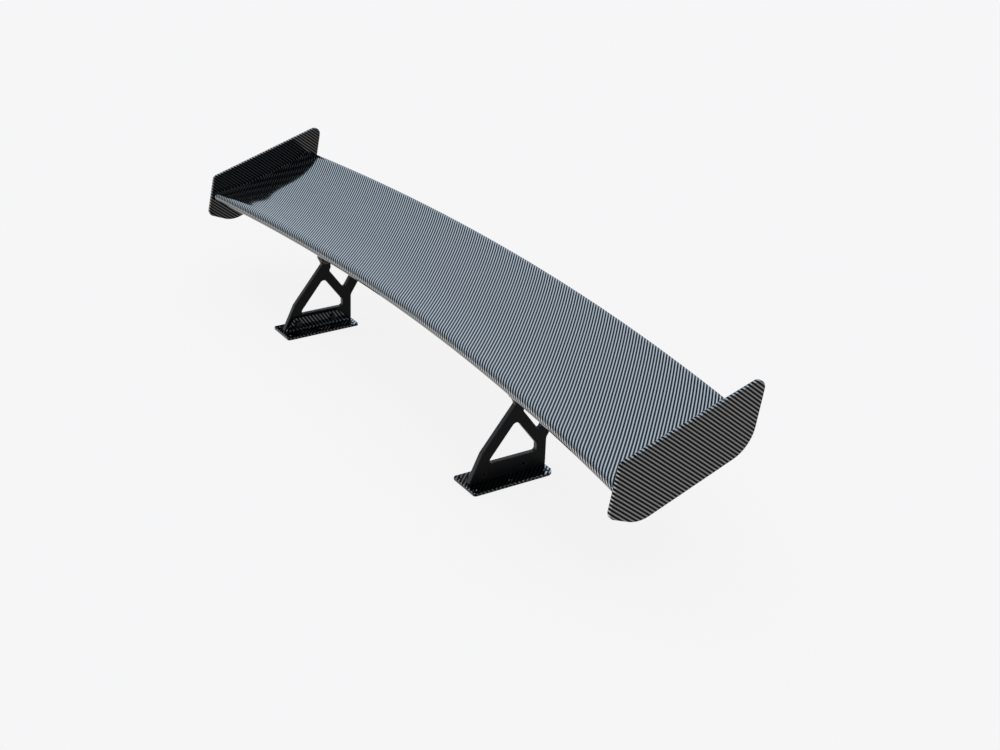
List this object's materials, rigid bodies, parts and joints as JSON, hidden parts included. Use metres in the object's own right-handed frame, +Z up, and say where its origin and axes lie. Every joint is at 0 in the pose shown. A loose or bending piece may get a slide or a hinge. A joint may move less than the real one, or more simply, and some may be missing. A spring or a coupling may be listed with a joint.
{
  "type": "racing rear wing",
  "caption": "Bowed carbon rear wing with end plates, on two black plate uprights with bolted feet, adjustable for angle of attack.",
  "frame": {"origin": "centre of the overall box at the level of the undersides of the feet", "axes": "+X to the right along the span, +Y rearward to the trailing edge, +Z up"},
  "size_m": [1.5, 0.2962, 0.2838],
  "materials": {
    "carbon_wing": "clear-coated twill carbon",
    "carbon_plate": "clear-coated twill carbon",
    "carbon_foot": "clear-coated twill carbon",
    "carbon_inner": "bare moulded carbon",
    "black_plate": "satin black anodised plate",
    "black_bracket": "satin black anodised",
    "bare_aluminium": "milled",
    "bronze_bush": "turned bronze",
    "black_steel": "black oxide",
    "nylon": "moulded"
  },
  "bodies": {
    "stand": {"left_foot": "carbon_foot", "right_foot": "carbon_foot", "left_upright": "black_plate", "right_upright": "black_plate", "foot_bolts": "black_steel", "foot_washers": "black_steel", "foot_nuts": "black_steel", "pivot_bolts": "black_steel", "pivot_washers": "black_steel", "pivot_nuts": "black_steel", "clamp_bolts": "black_steel", "clamp_washers": "black_steel", "clamp_nuts": "black_steel", "thrust_washers": "nylon"},
    "wing": {"wing_upper_skin": "carbon_wing", "wing_lower_skin": "carbon_wing", "front_spar": "carbon_inner", "rear_spar": "carbon_inner", "centre_rib": "carbon_inner", "left_inner_rib": "carbon_inner", "right_inner_rib": "carbon_inner", "left_outer_rib": "carbon_inner", "right_outer_rib": "carbon_inner", "left_tip_rib": "carbon_inner", "right_tip_rib": "carbon_inner", "left_hardpoint": "bare_aluminium", "right_hardpoint": "bare_aluminium", "left_end_plate": "carbon_plate", "right_end_plate": "carbon_plate", "left_bracket": "black_bracket", "right_bracket": "black_bracket", "left_pivot_bush": "bronze_bush", "right_pivot_bush": "bronze_bush", "bracket_screws": "black_steel"}
  },
  "joints": [
    {"name": "angle_of_attack", "type": "hinge", "parent": "stand", "child": "wing", "pos_m": [0, -0.04815, 0.143], "axis": [1, 0, 0], "range_deg": [-6, 6]}
  ]
}
